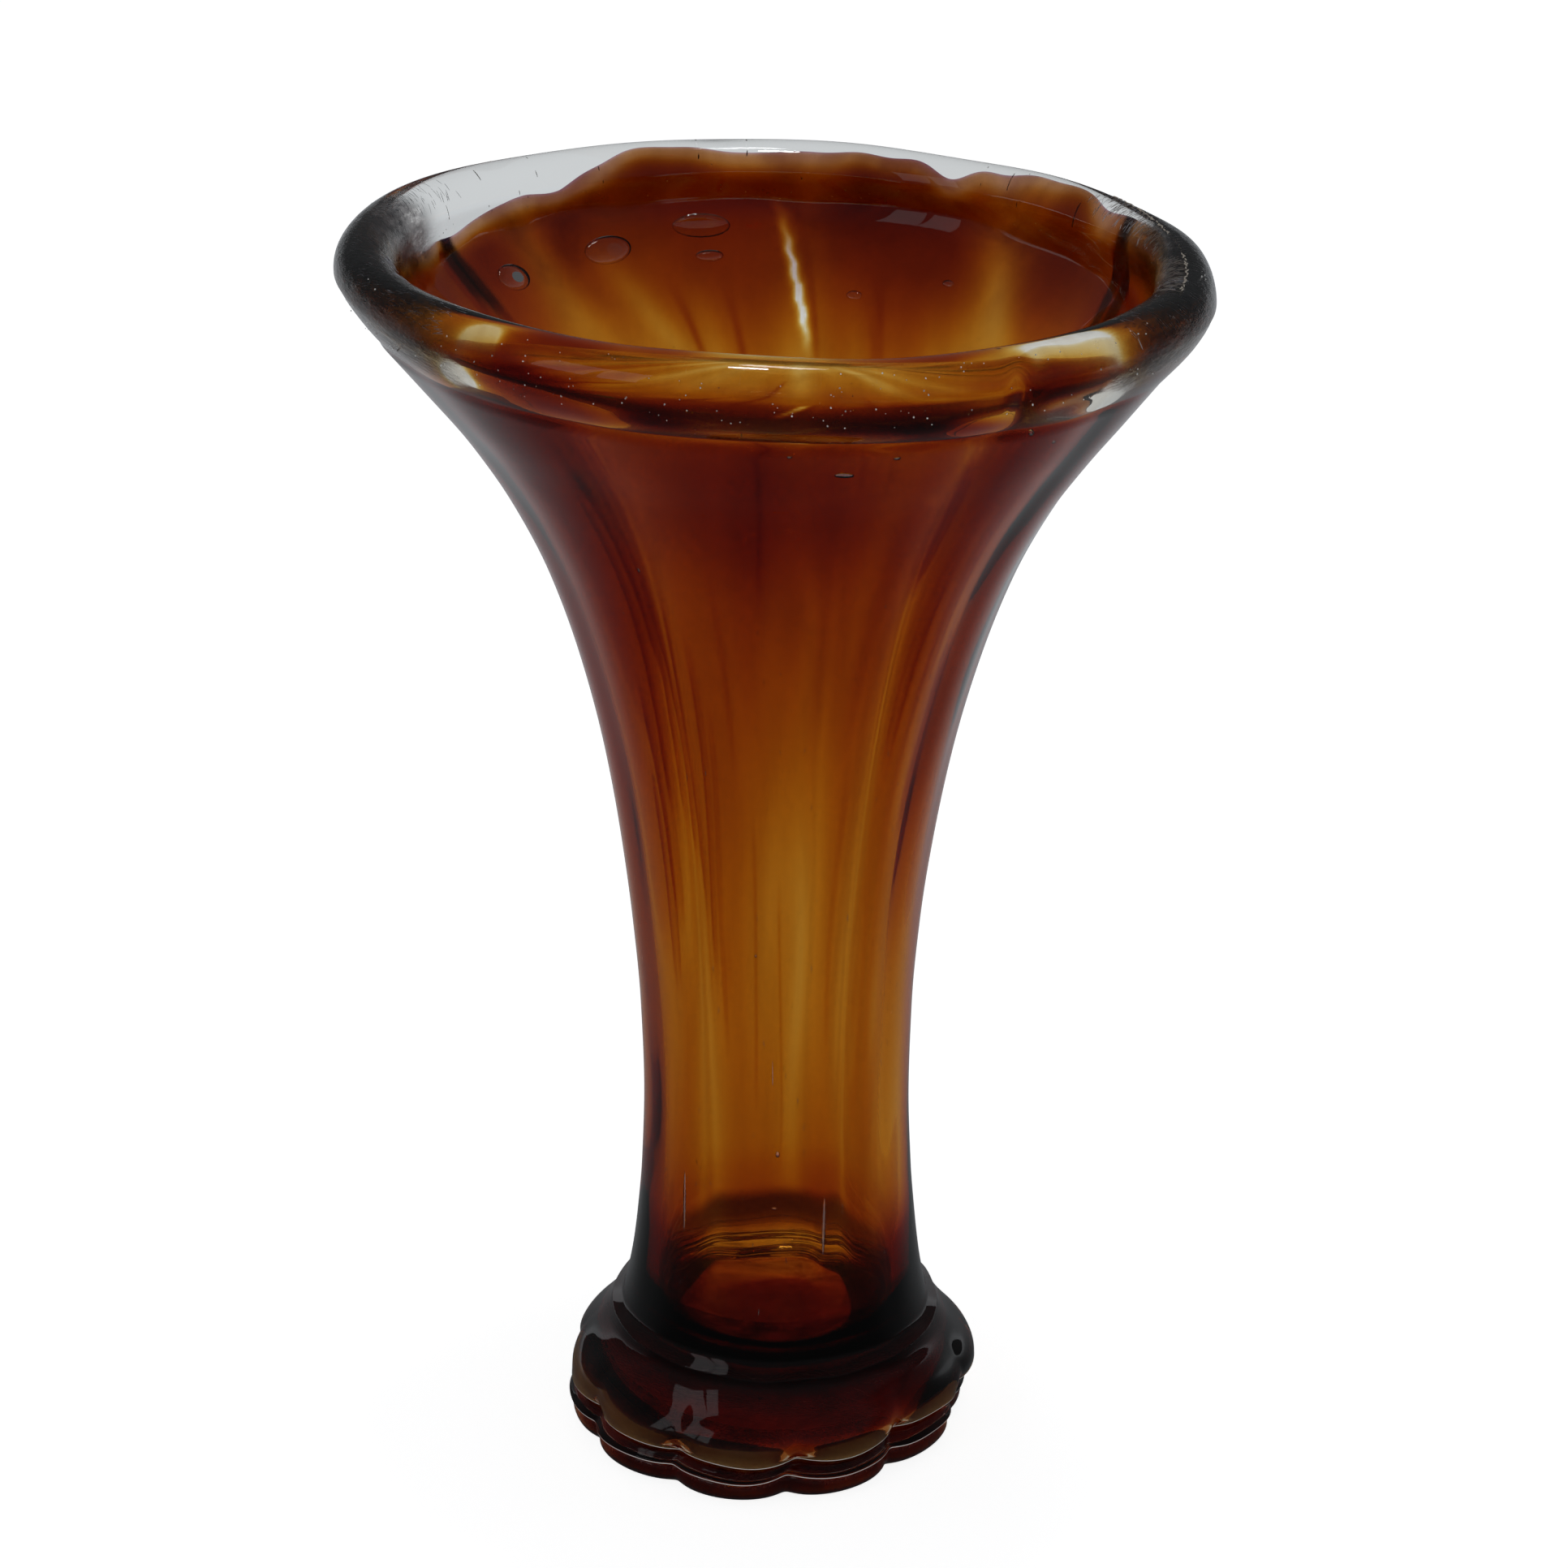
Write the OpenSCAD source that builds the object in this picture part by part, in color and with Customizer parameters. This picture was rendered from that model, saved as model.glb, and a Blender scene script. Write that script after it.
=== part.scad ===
// Heavy hand-blown trumpet vase: amber glass cased in clear glass, on a foot of
// three stacked scalloped tiers. Millimetres, +Z up. The origin is on the table,
// under the middle of the mouth, so the vase stands on z = 0.
//
// The wall is built the way a glassmaker gathers it, one skin over another:
// a clear lining round the hollow, the amber layer, then the clear casing. Each
// skin is a closed-bottomed cup. A clear bead finishes the mouth. The foot is an
// amber core under the cups, wrapped by a clear lobed flange, on a thin lobed
// ring, on a lobed disc.

/* [Vase] */
// Overall height, table to the top of the lip
height = 200; // [180:1:230]
// Outer radius of the column at its waist
waist_r = 21.4; // [20:0.1:24]
// Height of the waist above the table
waist_z = 60; // [54:1:70]
// Growth in radius from the waist up to the lip bead
flare_r = 39.8; // [34:0.1:44]
// Growth in radius from the waist down to the foot
skirt_r = 3.2; // [2:0.1:4]

/* [Wall] */
// Thickness of the clear lining round the hollow, measured level
lining_t = 0.9; // [0.7:0.1:1.4]
// Thickness of the amber layer, measured level
amber_t = 1.1; // [0.8:0.1:1.6]
// Thickness of the clear casing at the waist, measured level
casing_t = 1.4; // [1.2:0.1:2.4]
// Extra casing thickness where it meets the lip bead, measured level
casing_grow = 3.0; // [0:0.1:4]
// Height of the hollow's floor above the table
floor_z = 17.4; // [17:0.1:22]

/* [Lip] */
// Height of the lip bead above the top of the wall
lip_h = 11; // [9:0.5:12]
// How far the lip bead stands out past the wall
lip_out = 3.6; // [2:0.1:5]
// How far the lip bead stands in past the wall
lip_in = 0.2; // [0:0.1:1]

/* [Foot] */
// Largest radius of the flange, over its lobes
flange_r = 34.2; // [33.5:0.1:36]
// Largest radius of the thin ring, over its lobes
ring_r = 33.2; // [32:0.1:34]
// Largest radius of the bottom disc, over its lobes
disc_r = 32.2; // [31:0.1:33]
// Thickness of the bottom disc
disc_t = 4.0; // [3:0.1:5]
// Thickness of the thin ring
ring_t = 3.0; // [2:0.1:4]
// Thickness of the flange at its lobes
flange_t = 5.6; // [5:0.1:6]
// Radius of each lobe's own arc
lobe_r = 15; // [14:0.5:18]
// How far the foot was set off the axis of the mouth, along X
foot_dx = -1.6; // [-2:0.1:2]
// How far the foot was set off the axis of the mouth, along Y
foot_dy = 0.8; // [-2:0.1:2]
// Radius of the ground hollow under the foot
pontil_r = 12; // [8:0.5:14]
// Depth of the ground hollow under the foot
pontil_d = 1.2; // [0.5:0.1:2]

/* [Hidden] */
$fn = 96;

wall_top = height - lip_h;                  // where the three skins end under the bead
flare_span = wall_top - 1 - waist_z;
shoulder_z = 26;                            // where the flange's shoulder meets the column
flange_z = disc_t + ring_t;                 // underside of the flange
core_z = flange_z + 1;                      // underside of the amber core
cup = 9;                                    // height over which a cup rounds into its floor
round_p = 3;                                // how square that rounding is

// Where the middle of each lobe points, in degrees. Hand tooled, so not quite even.
lobe_at = [13, 50, 87, 123, 159, 192, 225, 263, 300, 337];

// Outer radius of the body at height z: a waist that opens upward into the
// trumpet and downward into the skirt over the foot.
function body_r(z) = z >= waist_z
    ? let (t = (z - waist_z) / flare_span) waist_r + flare_r * (0.59 * pow(t, 2) + 0.41 * pow(t, 4))
    : waist_r + skirt_r * pow((waist_z - z) / (waist_z - shoulder_z), 2);

// Level thickness of the casing at height z
function casing_at(z) = casing_t + casing_grow * pow(max(0, z - waist_z) / flare_span, 2)
    + 1.0 * pow(max(0, waist_z - z) / (waist_z - shoulder_z), 2);

// Radius of skin surface k at height z: 0 outside, 1 casing to amber,
// 2 amber to lining, 3 the hollow.
function skin_r(k, z) = body_r(z)
    - (k > 0 ? casing_at(z) : 0)
    - (k > 1 ? amber_t : 0)
    - (k > 2 ? lining_t : 0);

// Height of the floor of skin surface k on the axis
function skin_floor(k) = floor_z - (3 - k) * 2.2;

// Outline of skin surface k from the axis at its floor to the top of the wall
function cup_part(k) = let (z0 = skin_floor(k), z1 = z0 + cup)
    [for (i = [0:1:9]) let (a = i * 10, u = 1 - cos(a), z = z0 + cup * pow(u, 1.5))
        [skin_r(k, z1) * pow(max(0, 1 - pow((z1 - z) / cup, round_p)), 1 / round_p), z]];
function wall_part(k) = let (z1 = skin_floor(k) + cup, n = 30)
    [for (i = [1:1:n]) let (z = z1 + (wall_top - z1) * i / n) [skin_r(k, z), z]];
function skin_line(k) = concat(cup_part(k), wall_part(k));

function backwards(p) = [for (i = [len(p) - 1:-1:0]) p[i]];

// One closed-bottomed glass skin between surface k and surface k + 1
module skin(k) {
    rotate_extrude()
        polygon(concat(skin_line(k), backwards(skin_line(k + 1))));
}

module inner_lining() color([0.90, 0.90, 0.84, 0.4]) skin(2);

module amber_layer() color([0.62, 0.25, 0.04, 0.9]) skin(1);

module outer_casing() color([0.86, 0.88, 0.86, 0.4]) skin(0);

// Clear rounded lip: a fat bead whose flat seat covers the ends of the three skins
module rim_bead() {
    ro = skin_r(0, wall_top);
    ri = skin_r(3, wall_top);
    cr = (ro + lip_out + ri - lip_in) / 2;
    hw = (ro + lip_out - ri + lip_in) / 2;
    cz = wall_top + lip_h * 0.57;
    up = height - cz;
    down = cz - wall_top;
    color([0.88, 0.90, 0.88, 0.4])
    rotate_extrude()
        polygon(concat(
            [[ri, wall_top], [ro, wall_top]],
            // outer side: swells from the seat to the full width
            [for (a = [-75:15:0]) [ro + 0.5 + (cr + hw - ro - 0.5) * cos(a), cz + down * 0.94 * sin(a)]],
            // over the top
            [for (a = [10:10:170]) [cr + hw * cos(a), cz + up * sin(a)]],
            // inner side
            [[cr - hw, cz], [cr - hw + 0.05, cz - down * 0.5]]));
}

// Soft-edged round slab of radius r from z0 to z0 + t: what a tier is cut from
module slab(r, z0, t, soft) {
    translate([0, 0, z0])
    rotate_extrude()
        polygon([[0, 0], [r - soft * 0.45, 0], [r - soft * 0.12, t * 0.12], [r, t * 0.35],
                 [r - soft * 0.08, t * 0.62], [r - soft * 0.4, t * 0.84], [r - soft, t], [0, t]]);
}

// Angle of the nick between lobe i and the next one
function nick(i) = i < 0 ? (lobe_at[9] - 360 + lobe_at[0]) / 2
    : i < 9 ? (lobe_at[i] + lobe_at[i + 1]) / 2 : (lobe_at[9] + lobe_at[0] + 360) / 2;

// Distance from the foot's centre to a lobe's arc, at an angle off the lobe's middle
function lobe_reach(r, off) = let (d = r - lobe_r) d * cos(off) + sqrt(pow(lobe_r, 2) - pow(d * sin(off), 2));

// The scalloped outline: ten arcs of lobe_r that meet in nicks
function scallop(r) = [for (i = [0:1:9]) for (j = [0:1:9])
    let (a = nick(i - 1) + (nick(i) - nick(i - 1)) * j / 10, q = lobe_reach(r, a - lobe_at[i]))
    [q * cos(a), q * sin(a)]];

// A scalloped tier: the slab, pinched in between ten lobes
module tier(r, z0, t, soft) {
    translate([foot_dx, foot_dy, 0])
    intersection() {
        slab(r, z0, t, soft);
        translate([0, 0, z0 - 1]) linear_extrude(height = t + 2) polygon(scallop(r + 0.4));
    }
}

// What the flange and the core are cut to: everything inside the casing's outside
module body_pocket() {
    rotate_extrude()
        polygon(concat(skin_line(0), [[0, wall_top]]));
}

// Outline of the amber core: a thick saucer under and round the bottom of the casing
module core_solid() {
    rotate_extrude()
        polygon([[0, core_z], [27.0, core_z], [28.4, core_z + 0.8], [28.8, core_z + 2.2],
                 [28.0, core_z + 3.8], [26.4, core_z + 5.6], [25.6, core_z + 7.5], [0, core_z + 7.5]]);
}

module foot_core() color([0.30, 0.09, 0.03])
    difference() { core_solid(); body_pocket(); }

module foot_flange() color([0.55, 0.45, 0.28, 0.6])
    difference() {
        union() {
            tier(flange_r, flange_z, flange_t, 2.6);
            // the shoulder that sweeps from the lobes up to the column
            rotate_extrude()
                polygon([[0, flange_z + 0.7], [29.9, flange_z + 0.7], [30.2, flange_z + flange_t - 0.9],
                         [29.4, 14.2], [28.1, 16.2], [27.0, 18.6], [26.1, 21.2], [25.4, 23.6],
                         [24.9, 25.4], [24.4, shoulder_z + 1], [0, shoulder_z + 1]]);
        }
        core_solid();
        body_pocket();
    }

module foot_ring() color([0.48, 0.30, 0.14, 0.7])
    tier(ring_r, disc_t, ring_t, 1.4);

module foot_disc() color([0.36, 0.13, 0.05, 0.8])
    difference() {
        tier(disc_r, 0, disc_t, 1.6);
        // shallow ground hollow under the foot
        translate([foot_dx, foot_dy, 0])
            rotate_extrude()
                polygon([[0, -1], [pontil_r + 0.8, -1], [pontil_r, 0], [pontil_r * 0.75, pontil_d * 0.55],
                         [pontil_r * 0.4, pontil_d * 0.9], [0, pontil_d]]);
    }

inner_lining();
amber_layer();
outer_casing();
rim_bead();
foot_core();
foot_flange();
foot_ring();
foot_disc();
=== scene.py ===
import math
import bpy
import numpy as np
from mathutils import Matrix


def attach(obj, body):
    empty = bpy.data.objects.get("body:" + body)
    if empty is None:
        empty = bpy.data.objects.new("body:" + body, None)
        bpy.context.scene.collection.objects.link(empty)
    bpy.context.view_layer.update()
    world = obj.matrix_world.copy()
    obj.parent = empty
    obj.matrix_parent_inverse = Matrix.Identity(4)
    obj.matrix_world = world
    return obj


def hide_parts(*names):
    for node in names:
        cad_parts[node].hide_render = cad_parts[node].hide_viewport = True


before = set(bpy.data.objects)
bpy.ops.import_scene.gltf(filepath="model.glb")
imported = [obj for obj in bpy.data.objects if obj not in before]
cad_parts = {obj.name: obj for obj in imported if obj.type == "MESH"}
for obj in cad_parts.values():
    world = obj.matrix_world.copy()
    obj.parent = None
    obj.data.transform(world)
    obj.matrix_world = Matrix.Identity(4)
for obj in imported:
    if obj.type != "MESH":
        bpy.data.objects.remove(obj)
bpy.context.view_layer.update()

MM = 0.001
TAU = 2 * math.pi
rng = np.random.default_rng(7)

# ------------------------------------------------------------------ helpers


def smooth(x, a, b):
    t = np.clip((np.asarray(x, float) - a) / (b - a), 0, 1)
    return t * t * (3 - 2 * t)


def bump(x, c, w):
    return np.exp(-(((np.asarray(x, float) - c) / w) ** 2))


def ang(a, c):
    """signed difference of two angles in degrees, -180..180"""
    return (np.asarray(a, float) - c + 180) % 360 - 180


def spline(xs, ys):
    """smooth monotone-ish cubic through points (Fritsch-Carlson tangents)"""
    xs = np.asarray(xs, float)
    ys = np.asarray(ys, float)
    d = np.diff(ys) / np.diff(xs)
    m = np.empty_like(ys)
    m[0], m[-1] = d[0], d[-1]
    for i in range(1, len(xs) - 1):
        m[i] = 0 if d[i - 1] * d[i] <= 0 else 2 * d[i - 1] * d[i] / (d[i - 1] + d[i])

    def f(x):
        x = np.asarray(x, float)
        k = np.clip(np.searchsorted(xs, x) - 1, 0, len(xs) - 2)
        h = xs[k + 1] - xs[k]
        t = np.clip((x - xs[k]) / h, 0, 1)
        t2, t3 = t * t, t * t * t
        return (
            (2 * t3 - 3 * t2 + 1) * ys[k]
            + (t3 - 2 * t2 + t) * h * m[k]
            + (-2 * t3 + 3 * t2) * ys[k + 1]
            + (t3 - t2) * h * m[k + 1]
        )

    return f


class Noise:
    """smooth periodic noise on (angle, height): a few seeded waves"""

    def __init__(self, seed, n, amin, amax, zmin, zmax):
        r = np.random.default_rng(seed)
        self.k = r.integers(amin, amax + 1, n)
        self.q = r.uniform(zmin, zmax, n) * r.choice([-1, 1], n)
        self.p = r.uniform(0, TAU, n)
        self.a = r.uniform(0.5, 1, n)
        self.a /= math.sqrt((self.a**2).sum() / 2)

    def __call__(self, th, z):
        out = 0
        for k, q, p, a in zip(self.k, self.q, self.p, self.a):
            out = out + a * np.sin(k * th + q * z + p)
        return out


def lathe_mesh(name, P, cap0=True, cap1=True, loop=False):
    """P: rows x angles x 3 in mm; rows run along the profile, angles close on themselves.
    A cap adds a single vertex at the mean of the end row."""
    M, N = P.shape[:2]
    verts = P.reshape(-1, 3)
    idx = np.arange(M * N).reshape(M, N)
    a = idx[:-1]
    b = idx[1:]
    a2 = np.roll(a, -1, axis=1)
    b2 = np.roll(b, -1, axis=1)
    quads = np.stack([a, a2, b2, b], -1).reshape(-1, 4)
    faces = [tuple(q) for q in quads.tolist()]
    if loop:
        cap0 = cap1 = False
        a, b = idx[-1], idx[0]
        faces += np.stack([a, np.roll(a, -1), np.roll(b, -1), b], -1).tolist()
    vs = [verts]
    n = M * N
    if cap0:
        vs.append(P[0].mean(0)[None])
        r = idx[0]
        faces += [(n, int(r[(i + 1) % N]), int(r[i])) for i in range(N)]
        n += 1
    if cap1:
        vs.append(P[-1].mean(0)[None])
        r = idx[-1]
        faces += [(n, int(r[i]), int(r[(i + 1) % N])) for i in range(N)]
        n += 1
    me = bpy.data.meshes.new(name)
    me.from_pydata((np.concatenate(vs) * MM).tolist(), [], faces)
    me.validate()
    for p in me.polygons:
        p.use_smooth = True
    me.update()
    ob = bpy.data.objects.new(name, me)
    bpy.context.scene.collection.objects.link(ob)
    return ob


def join_shells(name, shells):
    """one mesh from several (verts, faces) pairs, in metres"""
    vs, fs, n = [], [], 0
    for v, f in shells:
        vs.append(v)
        fs += [tuple(int(i) + n for i in q) for q in f]
        n += len(v)
    me = bpy.data.meshes.new(name)
    me.from_pydata(np.concatenate(vs).tolist(), [], fs)
    me.validate()
    for p in me.polygons:
        p.use_smooth = True
    ob = bpy.data.objects.new(name, me)
    bpy.context.scene.collection.objects.link(ob)
    return ob


# ------------------------------------------------------------------ the vase's surfaces (mm)
# The body is round about Z with a column that leans a fraction of a millimetre,
# a mouth that sits a little askew, ten soft flutes, and ten lobes round the foot.

WALL_TOP = 187.0
NICKS = np.array([-12.5, 26.0, 64.0, 102.0, 139.0, 175.0, 209.0, 242.0, 277.0, 313.3])
LOW = (-1.0, -0.3)  # middle of the two lower tiers
HIGH = (0.45, 0.6)  # middle of the flange and the shoulder above it


def foot_c(z):
    w = float(smooth(z, 4.4, 7.0))
    return LOW[0] * (1 - w) + HIGH[0] * w, LOW[1] * (1 - w) + HIGH[1] * w


def foot_dr(th, z):
    """the tiers are not quite round: what the edge gains or loses, by angle and height"""
    d = np.degrees(th)
    w = smooth(z, 4.4, 7.0)
    low = -1.2 * bump(ang(d, 315), 0, 30) - 0.9 * bump(ang(d, 193), 0, 14)
    high = -3.2 * bump(ang(d, 318), 0, 28) + 0.6 * bump(ang(d, 235), 0, 20)
    return (low * (1 - w) + high * w) * (1 - smooth(z, 9, 17))


r_out_s = spline(
    [18, 22, 26, 30, 36, 46, 60, 75, 90, 105, 120, 135, 150, 162, 172, 180, 187],
    [26.3, 25.0, 24.1, 23.45, 22.75, 21.9, 21.4, 21.8, 23.0, 24.9, 27.5, 31.2, 36.3, 42.2, 48.7, 54.9, 60.4],
)
wall_s = spline([18, 26, 40, 60, 90, 120, 150, 170, 187], [5.2, 4.3, 3.5, 3.3, 3.5, 4.0, 4.7, 5.4, 6.2])
cx_s = spline([0, 26, 60, 100, 140, 170, 187, 200], [0, 0.5, 0.2, -0.4, -0.3, -0.3, -1.0, -1.7])
n_body = Noise(3, 9, 1, 5, 0.01, 0.05)
n_fine = Noise(4, 12, 3, 14, 0.02, 0.12)
n_lip = Noise(5, 12, 2, 11, 0.0, 0.05)


# angle, strength, half-width in degrees of each flute (a shallow groove pressed down the outside)
FLUTES = [
    (5, 0.7, 8), (27, 0.7, 8), (49, 0.9, 7), (87, 1.0, 7), (118, 0.75, 7), (135, 1.0, 6), (158, 0.7, 8), (185, 0.8, 9),
    (211, 0.8, 8), (241, 0.9, 7), (283, 0.5, 8), (300.5, 1.15, 5.5), (321, 1.0, 6), (343, 0.7, 8),
]


def flute_at(th_deg, z):
    """1 in the bottom of a flute, 0 on the panels between"""
    out = 0
    for a, k, w in FLUTES:
        sway = 1.2 * np.sin(0.03 * np.asarray(z, float) + a)
        out = out + k * bump(ang(th_deg, a + sway), 0, w)
    return out


def r_outer(th, z):
    d = np.degrees(th)
    f = flute_at(d, z)
    amp = 0.10 + 0.22 * smooth(z, 40, 100) + 0.34 * smooth(z, 105, 155)
    r = r_out_s(z) - amp * (f - 0.35)
    return r + 0.10 * n_body(th, z) + 0.02 * n_fine(th, z)


def r_inner(th, z):
    d = np.degrees(th)
    f = flute_at(d, z)
    amp = 0.26 * smooth(z, 30, 90)
    r = r_out_s(z) - wall_s(z) + amp * (f - 0.35)
    return r + 0.12 * n_body(th + 1.0, z) + 0.03 * n_fine(th + 2.0, z)


RIM_SX, RIM_SY = -0.020, -0.0046


def place(x, y, z):
    """lean and rim tilt, applied to everything"""
    w = smooth(z, 110, 190)
    X = x + cx_s(z)
    Z = z + w * (RIM_SX * X + RIM_SY * y)
    return X, y, Z


N_ANG = 720
TH = np.linspace(0, TAU, N_ANG, endpoint=False)


def ring(r, z, cx=0.0, cy=0.0):
    """one ring of points; r and z may vary with the angle"""
    r = np.broadcast_to(r, TH.shape)
    z = np.broadcast_to(z, TH.shape)
    return np.stack([cx + r * np.cos(TH), cy + r * np.sin(TH), z], -1)


def lobes(th):
    """how far in the edge of a tier is pinched, mm, as a positive number: cusps between round lobes"""
    d = np.degrees(th)
    out = 0
    for i, a in enumerate(NICKS):
        depth = 3.0 + 0.45 * math.sin(i * 1.7)
        e = np.sqrt(ang(d, a) ** 2 + 1.5**2)
        out = out + depth * np.exp(-e / 5.4)
    return out


# foot profile: r (from the foot's centre), z, how strongly the lobes pinch it (0..1)
FOOT_PROFILE = [
    (0.4, 0.80, 0), (3.0, 0.78, 0), (6.0, 0.66, 0), (9.0, 0.42, 0), (11.0, 0.16, 0), (12.2, 0.03, 0),
    (14.0, 0.0, 0), (20.0, 0.0, 0), (26.0, 0.0, 0.15), (29.4, 0.0, 0.5), (31.0, 0.10, 0.8), (32.1, 0.42, 0.95),
    (32.8, 1.0, 1), (33.2, 1.8, 1), (33.2, 2.6, 1), (33.0, 3.2, 1), (32.7, 3.6, 1), (32.1, 3.85, 1),
    (31.8, 4.0, 1), (32.2, 4.12, 1), (33.3, 4.18, 1), (33.75, 4.32, 1), (33.85, 4.62, 1), (33.6, 4.95, 1), (33.4, 5.4, 1), (33.25, 5.9, 1),
    (32.8, 6.25, 1), (31.9, 6.46, 1), (30.2, 6.52, 0.8), (28.4, 6.54, 0.4), (26.6, 6.56, 0.1), (26.3, 6.64, 0.1), (26.6, 6.72, 0.1), (28.4, 6.74, 0.4),
    (30.2, 6.76, 0.8), (31.9, 6.80, 1), (33.4, 6.88, 1), (34.0, 7.02, 1),
    (34.12, 7.32, 0.97), (34.05, 7.7, 0.85), (34.0, 8.4, 0.62), (33.8, 9.5, 0.40), (33.2, 10.7, 0.26), (32.2, 12.0, 0.17), (31.0, 13.3, 0.12),
    (29.7, 14.8, 0.08), (28.5, 16.5, 0.05), (27.5, 18.2, 0.02), (26.9, 19.8, 0.0),
]


def dense(profile, k):
    """resample a profile with smooth (Catmull-Rom) interpolation, k points a span"""
    p = np.array(profile, float)
    out = []
    for i in range(len(p) - 1):
        p0 = p[max(i - 1, 0)]
        p1, p2 = p[i], p[i + 1]
        p3 = p[min(i + 2, len(p) - 1)]
        for j in range(k):
            t = j / k
            out.append(
                0.5 * ((2 * p1) + (-p0 + p2) * t + (2 * p0 - 5 * p1 + 4 * p2 - p3) * t**2 + (-p0 + 3 * p1 - 3 * p2 + p3) * t**3)
            )
    out.append(p[-1])
    return np.array(out)


FOOT_MARK = []  # a mark for each row of the foot: 0 polished, 1 worn edge with a painted highlight line, 2 ground underside


def foot_rows():
    rows = []
    pin = lobes(TH)
    wob = 0.18 * n_lip(TH, 0)
    for r, z, w in dense(FOOT_PROFILE, 3):
        w = min(max(w, 0), 1)
        k = smooth(r, 22, 31)
        zz = z + (0.10 * n_fine(TH, 3) * smooth(z, 1.5, 4))
        # the foot's own centre gives way to the column's axis up the shoulder
        s = 1 - smooth(z, 11, 22)
        cx, cy = foot_c(z)
        cx = cx * s + cx_s(z) * (1 - s)
        cy = cy * s
        # the seam under the flange runs deep at the front only
        rr = np.full_like(TH, r)
        if 6.4 < z < 6.85 and r < 31.9:
            rr = 31.9 - (31.9 - r) * (1 - smooth(np.abs(ang(np.degrees(TH), 262)), 76, 104))
        rows.append(ring(rr - w * pin + k * wob * w + k * foot_dr(TH, z), zz, cx, cy))
        FOOT_MARK.append(2 if z < 1.3 and r < 32.5 else 4 if 6.6 < z < 6.9 and r > 25.6 and r < 33.8 else 1 if (r > 33.2 and (4.2 < z < 4.55 or 6.95 < z < 7.30)) else 0)
    return rows


def body_rows():
    rows = []
    for z in np.concatenate([np.linspace(20.6, 60, 26), np.linspace(62, 187, 74)]):
        zz = np.full_like(TH, z)
        r = r_outer(TH, z)
        # blend out of the foot's shoulder
        k = smooth(z, 19, 30)
        r = r * k + (1 - k) * (r_out_s(z) + (26.3 - 25.9) * 0)
        x, y, Z = place(r * np.cos(TH), r * np.sin(TH), zz)
        rows.append(np.stack([x, y, Z], -1))
    return rows


# the plain run of the flare into the bead: outside and inside radius by height
rim_run = spline([187, 188.5, 190, 191.7, 193.4, 194.6, 195.8], [60.4, 61.6, 62.75, 63.95, 65.0, 65.5, 65.7])
rim_in = spline([185.5, 187, 188.5, 190, 192, 194, 195.8], [53.08, 54.2, 55.13, 55.75, 56.15, 56.25, 56.2])


# lip: cross-section of a fat bead round the mouth, from the top of the outer wall to the inner wall
def lip_rows():
    rows = []
    ro, ri = r_outer(TH, WALL_TOP), r_inner(TH, WALL_TOP)
    cr = (65.7 + 56.2) / 2 + 0.12 * n_lip(TH, 0)
    hw = (65.7 - 56.2) / 2 + 0.10 * n_lip(TH + 0.7, 0)
    cz = 195.2 + 0.12 * n_lip(TH + 2.0, 0)
    for a in np.concatenate([np.linspace(-62, 0, 14), np.linspace(7, 173, 26), np.linspace(180, 235, 16)]):
        t = math.radians(a)
        up = 4.8
        if a < 0:
            up = 5.2
        if a > 180:
            up = 6.0
        r = cr + hw * math.cos(t)
        z = cz + up * math.sin(t)
        # meet the walls
        if a < 0:
            k = smooth(-a, 25, 66)
            rt = ro + 1.1 * (1 - k)
            rc = r * (1 - k) + rt * k
            zc = z * (1 - k) + (WALL_TOP + 1.2) * k
            # the plain run of the flare into the bead, no crease
            zp = cz - (195.2 - WALL_TOP - 0.5) * math.sin(t) / math.sin(math.radians(-62))
            rp = rim_run(zp) + (ro - r_out_s(WALL_TOP)) * k + 0.10 * n_lip(TH + 0.7, 0)
            f = 0.45 * bump(ang(np.degrees(TH), 268), 0, 62)
            r = rp * (1 - f) + rc * f
            z = zp * (1 - f) + zc * f
        if a > 180:
            f = (a - 180) / 55
            z = cz * (1 - f) + 195.2 * f - 8.15 * f
            r = rim_in(z) + (ri - 54.2) * smooth(f, 0.3, 1) + (cr - hw - 56.2) * (1 - f)
        dg = np.degrees(TH)
        fold = 0.6 * bump(ang(dg, 302), 0, 2.0) + 0.3 * bump(ang(dg, 318), 0, 5) + 0.3 * bump(ang(dg, 226), 0, 4)
        r = r - fold * bump(a, 5, 55)
        x, y, Z = place(r * np.cos(TH), r * np.sin(TH), np.broadcast_to(z, TH.shape).astype(float))
        rows.append(np.stack([x, y, Z], -1))
    return rows


FLOOR_Z = 17.4
CUP = 9.0


def cavity_r(th, z, floor=FLOOR_Z, grow=0.0):
    """inner surface radius, closing over the floor; grow pushes it out into the wall"""
    z1 = floor + CUP
    k = np.clip((z1 - z) / CUP, 0, 1)
    f = np.power(np.clip(1 - k**3, 0, 1), 1 / 3)
    return (r_inner(th, np.maximum(z, z1)) + grow) * f


def cavity_rows():
    rows = []
    for z in np.concatenate([np.linspace(186, 62, 70), np.linspace(60, FLOOR_Z + CUP, 20)]):
        r = cavity_r(TH, z)
        x, y, Z = place(r * np.cos(TH), r * np.sin(TH), np.full_like(TH, z))
        rows.append(np.stack([x, y, Z], -1))
    # the rounded bottom, by angle round the superellipse
    z1 = FLOOR_Z + CUP
    R1 = r_inner(TH, z1)
    for b in np.linspace(6, 88, 22):
        t = math.radians(b)
        f = math.cos(t) ** (2 / 3)
        h = math.sin(t) ** (2 / 3)
        z = z1 - CUP * h
        # the floor is not quite flat: a slow wave and a faint push-up in its middle
        r = R1 * f
        zz = z + 0.5 * bump(r, 4, 8) * smooth(b, 40, 80)
        x, y, Z = place(r * np.cos(TH), r * np.sin(TH), zz)
        rows.append(np.stack([x, y, Z], -1))
    return rows


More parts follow.
